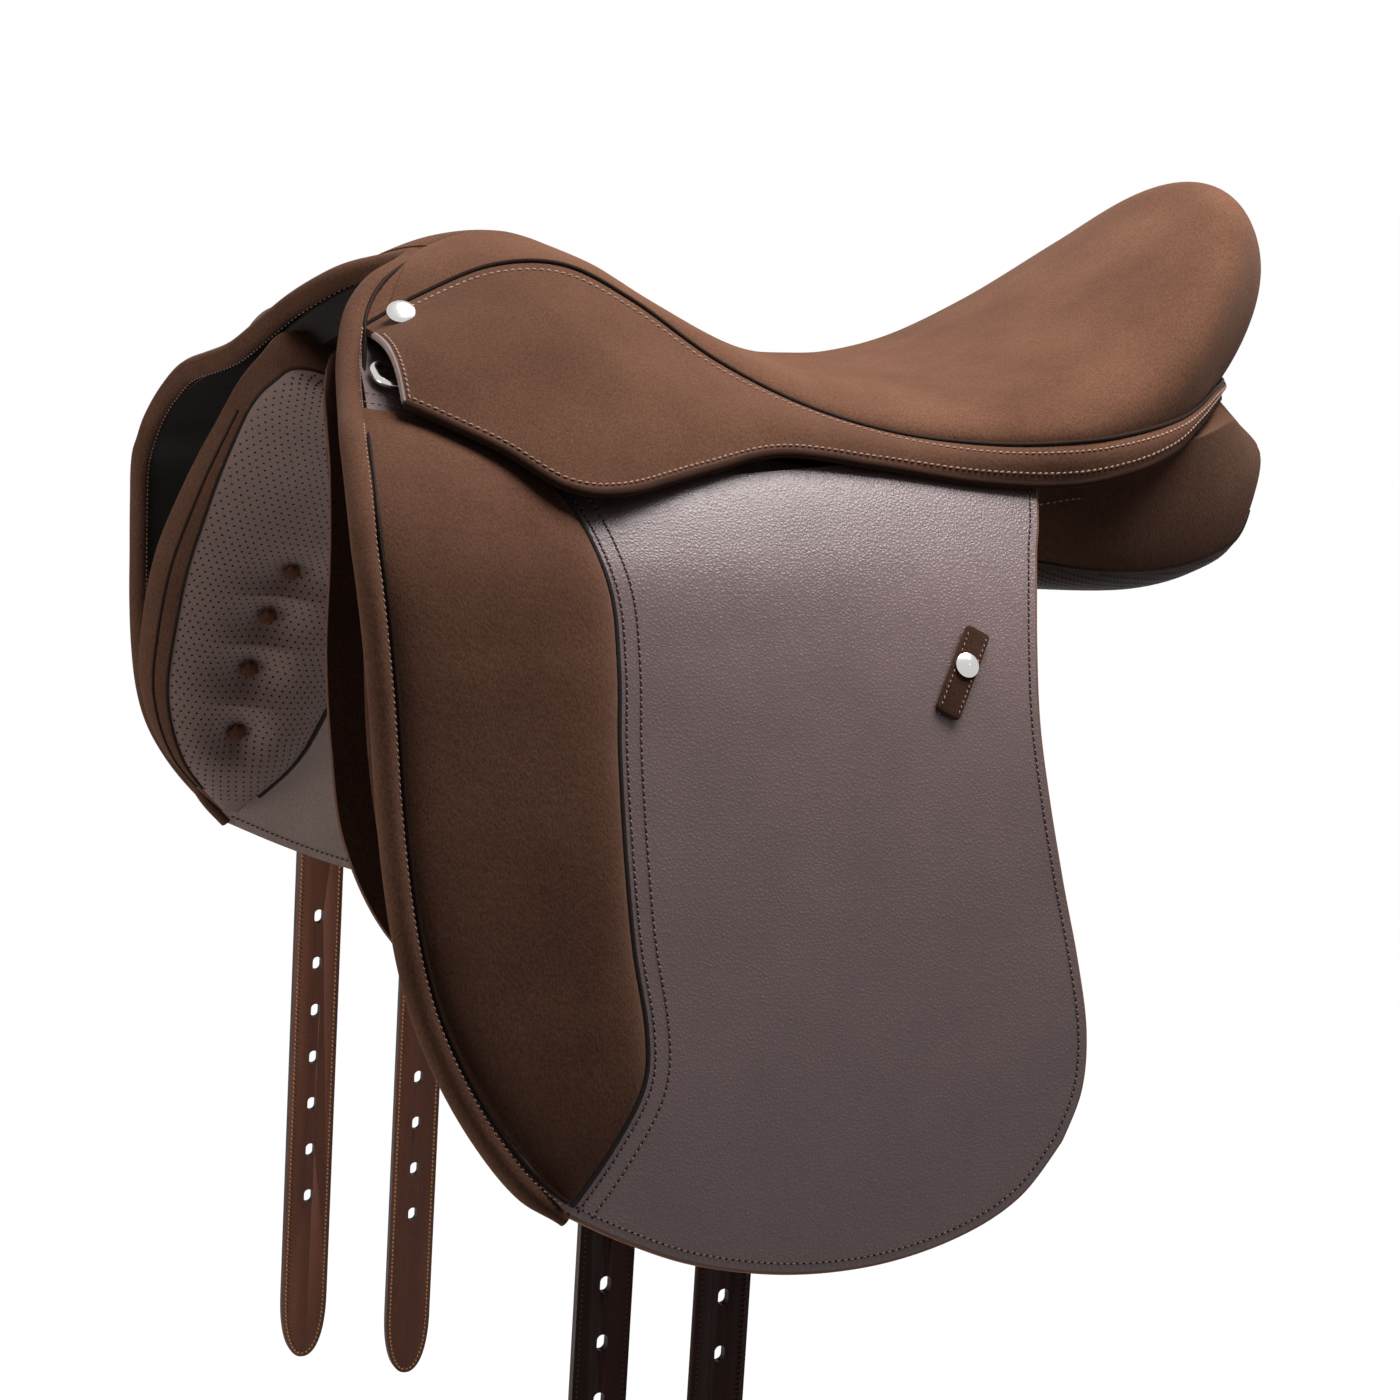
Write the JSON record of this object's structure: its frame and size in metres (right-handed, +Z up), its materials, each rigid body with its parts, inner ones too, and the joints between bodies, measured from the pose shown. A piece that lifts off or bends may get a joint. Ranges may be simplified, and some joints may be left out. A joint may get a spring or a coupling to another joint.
{
  "type": "dressage saddle",
  "caption": "Brown dressage saddle with suede seat and skirts, smooth straight-cut flaps, stuffed panels, girth straps, stirrup bars and dee rings.",
  "frame": {"origin": "mid-plane of the saddle below the deepest point of the seat, at the level on which the panels bear", "axes": "+Z up, +X towards the cantle at the rear, +Y to the rider's right"},
  "size_m": [0.5173, 0.5608, 0.673],
  "materials": {
    "suede": "matte brown nubuck",
    "leather": "satin grey-mauve leather with a fine grain",
    "perforated": "matte grey-brown leather with fine holes",
    "black_leather": "matte black lining leather",
    "strap": "waxed dark brown leather",
    "foam": "open-cell foam",
    "webbing": "woven webbing",
    "tree": "moulded black polymer",
    "chrome": "polished",
    "steel": "satin forged steel"
  },
  "bodies": {
    "saddle": {"tree": "tree", "seat_webbing": "webbing", "seat_foam": "foam", "seat_cover": "suede", "gullet_plate": "steel", "pommel_lining": "black_leather", "pommel_roll": "suede", "skirt_left": "suede", "skirt_right": "suede", "skirt_stud_left": "chrome", "skirt_stud_right": "chrome", "flap_top_left": "leather", "flap_top_right": "leather", "knee_pad_top_left": "suede", "knee_pad_top_right": "suede", "knee_block_left": "black_leather", "knee_block_right": "black_leather", "sweat_flap_left": "leather", "sweat_flap_right": "leather", "panel_left": "perforated", "panel_right": "perforated", "tufts_left": "strap", "tufts_right": "strap", "girth_web_front_left": "webbing", "girth_web_front_right": "webbing", "girth_web_rear_left": "webbing", "girth_web_rear_right": "webbing", "dee_tab_left": "leather", "dee_tab_right": "leather", "stirrup_bar_left": "steel", "stirrup_bar_right": "steel", "stirrup_rivets_left": "chrome", "stirrup_rivets_right": "chrome"},
    "left_flap": {"flap_left": "leather", "flap_roll_left": "suede", "knee_pad_left": "suede", "keeper_left": "suede", "keeper_button_left": "chrome"},
    "right_flap": {"flap_right": "leather", "flap_roll_right": "suede", "knee_pad_right": "suede", "keeper_right": "suede", "keeper_button_right": "chrome"},
    "left_front_strap": {"billet_front_left": "strap"},
    "right_front_strap": {"billet_front_right": "strap"},
    "left_rear_strap": {"billet_rear_left": "strap"},
    "right_rear_strap": {"billet_rear_right": "strap"},
    "left_dee": {"dee_ring_left": "chrome"},
    "right_dee": {"dee_ring_right": "chrome"},
    "left_catch": {"stirrup_catch_left": "steel"},
    "right_catch": {"stirrup_catch_right": "steel"}
  },
  "joints": [
    {"name": "left_flap_lift", "type": "hinge", "parent": "saddle", "child": "left_flap", "pos_m": [0, -0.1429, 0.048], "axis": [-0.9963, -0.0862, 0], "range_deg": [0, 70]},
    {"name": "left_front_strap_swing", "type": "hinge", "parent": "saddle", "child": "left_front_strap", "pos_m": [-0.163, -0.201, -0.11], "axis": [0, 1, 0], "range_deg": [-15, 15]},
    {"name": "left_rear_strap_swing", "type": "hinge", "parent": "saddle", "child": "left_rear_strap", "pos_m": [-0.105, -0.1955, -0.11], "axis": [0, 1, 0], "range_deg": [-15, 15]},
    {"name": "left_dee_swing", "type": "hinge", "parent": "saddle", "child": "left_dee", "pos_m": [-0.2195, -0.08597, 0.1043], "axis": [0, 0.9163, 0.4005], "range_deg": [0, 18]},
    {"name": "left_catch_turn", "type": "hinge", "parent": "saddle", "child": "left_catch", "pos_m": [-0.083, -0.08616, 0.08204], "axis": [0, -0.7234, 0.6904], "range_deg": [0, 80]},
    {"name": "right_flap_lift", "type": "hinge", "parent": "saddle", "child": "right_flap", "pos_m": [0, 0.1429, 0.048], "axis": [0.9963, -0.0862, 0], "range_deg": [0, 55]},
    {"name": "right_front_strap_swing", "type": "hinge", "parent": "saddle", "child": "right_front_strap", "pos_m": [-0.163, 0.201, -0.11], "axis": [0, 1, 0], "range_deg": [-15, 15]},
    {"name": "right_rear_strap_swing", "type": "hinge", "parent": "saddle", "child": "right_rear_strap", "pos_m": [-0.105, 0.1955, -0.11], "axis": [0, 1, 0], "range_deg": [-15, 15]},
    {"name": "right_dee_swing", "type": "hinge", "parent": "saddle", "child": "right_dee", "pos_m": [-0.2195, 0.08597, 0.1043], "axis": [0, 0.9163, -0.4005], "range_deg": [0, 18]},
    {"name": "right_catch_turn", "type": "hinge", "parent": "saddle", "child": "right_catch", "pos_m": [-0.083, 0.08616, 0.08204], "axis": [0, -0.7234, -0.6904], "range_deg": [0, 80]}
  ]
}
